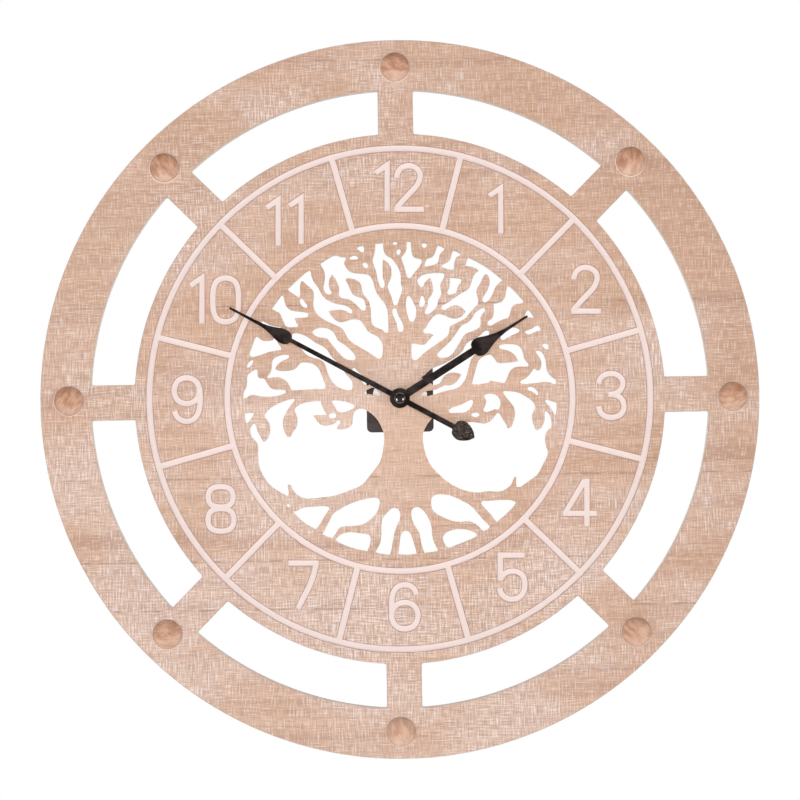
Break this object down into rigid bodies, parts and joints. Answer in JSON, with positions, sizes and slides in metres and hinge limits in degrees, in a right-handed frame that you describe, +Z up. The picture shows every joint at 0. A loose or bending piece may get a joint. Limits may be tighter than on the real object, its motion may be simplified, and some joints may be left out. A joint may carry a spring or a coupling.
{
  "type": "tree of life wall clock",
  "caption": "Large round wooden wall clock: one flat fretwork board with a tree of life in the middle, a window ring with spokes, rim buttons, black spade hands and a quartz movement.",
  "frame": {"origin": "where the hanger's loop rests on the wall nail, in the plane of the wall", "axes": "+Z up, +Y into the wall, -Y out of the dial, +X to the right as one looks at the dial"},
  "size_m": [0.6, 0.04, 0.6],
  "materials": {
    "whitewashed_wood": "whitewashed, matt",
    "button_wood": "oiled, satin",
    "black_enamel": "black, gloss",
    "dark_plastic": "dark, matt",
    "black_plastic": "black, matt",
    "pale_fibre": "pale, matt",
    "black_rubber": "matt",
    "brass": "turned",
    "steel": "stamped",
    "white_nylon": "moulded",
    "rotor_grey": "moulded round a magnet",
    "copper_wire": "enamelled wire",
    "circuit_green": "lacquered",
    "cell_jacket": "plain printed jacket"
  },
  "bodies": {
    "clock": {"dial_board": "whitewashed_wood", "button_1": "button_wood", "button_2": "button_wood", "button_3": "button_wood", "button_4": "button_wood", "button_5": "button_wood", "button_6": "button_wood", "button_7": "button_wood", "button_8": "button_wood", "mounting_pad": "pale_fibre", "rubber_washer": "black_rubber", "movement_case": "dark_plastic", "movement_cover": "black_plastic", "hanger": "steel", "brass_washer": "brass", "fixing_nut": "brass", "stator": "steel", "coil_bobbin": "copper_wire", "circuit_board": "circuit_green", "battery": "cell_jacket", "battery_flat_contact": "steel", "battery_spring_contact": "steel"},
    "minute": {"centre_arbor": "brass", "minute_hand": "black_enamel", "hand_cap_nut": "black_enamel"},
    "hour": {"hour_wheel": "white_nylon", "hour_hand": "black_enamel"},
    "minute_wheel": {"minute_wheel": "white_nylon"},
    "setting": {"setting_knob": "black_plastic"},
    "third": {"third_wheel": "white_nylon"},
    "middle": {"middle_wheel": "white_nylon"},
    "rotor": {"rotor": "rotor_grey"}
  },
  "joints": [
    {"name": "minute_turn", "type": "hinge", "parent": "clock", "child": "minute", "pos_m": [0, -0.008, -0.0344], "axis": [0, 1, 0], "continuous": true},
    {"name": "hour_turn", "type": "hinge", "parent": "clock", "child": "hour", "pos_m": [0, -0.008, -0.0344], "axis": [0, 1, 0], "continuous": true},
    {"name": "minute_wheel_turn", "type": "hinge", "parent": "clock", "child": "minute_wheel", "pos_m": [-0.01044, -0.008, -0.02837], "axis": [0, 1, 0], "continuous": true},
    {"name": "setting_turn", "type": "hinge", "parent": "clock", "child": "setting", "pos_m": [-0.01044, -0.008, -0.01631], "axis": [0, 1, 0], "continuous": true},
    {"name": "third_turn", "type": "hinge", "parent": "clock", "child": "third", "pos_m": [0.01005, -0.008, -0.02859], "axis": [0, 1, 0], "continuous": true},
    {"name": "middle_turn", "type": "hinge", "parent": "clock", "child": "middle", "pos_m": [0.01503, -0.008, -0.01997], "axis": [0, 1, 0], "continuous": true},
    {"name": "rotor_turn", "type": "hinge", "parent": "clock", "child": "rotor", "pos_m": [0.01503, -0.008, -0.01331], "axis": [0, 1, 0], "continuous": true}
  ],
  "couplings": [
    {"joint": "hour_turn", "follows": "minute_turn", "ratio": 0.083333},
    {"joint": "minute_wheel_turn", "follows": "minute_turn", "ratio": -0.33333},
    {"joint": "setting_turn", "follows": "minute_turn", "ratio": 1},
    {"joint": "third_turn", "follows": "minute_turn", "ratio": -6},
    {"joint": "middle_turn", "follows": "minute_turn", "ratio": 30},
    {"joint": "rotor_turn", "follows": "minute_turn", "ratio": -90}
  ]
}
